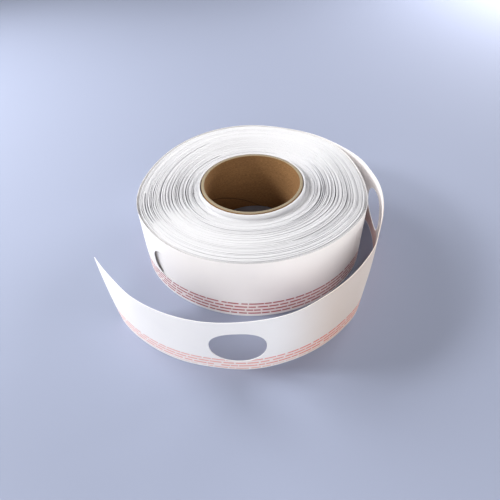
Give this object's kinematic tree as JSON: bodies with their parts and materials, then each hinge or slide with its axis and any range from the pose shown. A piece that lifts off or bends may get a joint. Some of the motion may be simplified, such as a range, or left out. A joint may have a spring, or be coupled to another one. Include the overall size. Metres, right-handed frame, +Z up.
{
  "type": "roll of curtain tape",
  "caption": "Roll of white curtain tape with punched eyelet holes, wound on a cardboard core, its loose end standing round the front.",
  "frame": {"origin": "centre of the footprint of roll and loose end together, on the surface they stand on", "axes": "+Z up along the roll's axis, +Y from the loose end's front to the back of the roll, +X to the right in the picture"},
  "size_m": [0.211, 0.2282, 0.055],
  "materials": {
    "tape": "matte stiff white cloth",
    "cardboard": "matte brown wound board"
  },
  "bodies": {
    "root": {"core": "cardboard", "wound_roll": "tape", "loose_end": "tape"}
  },
  "joints": []
}
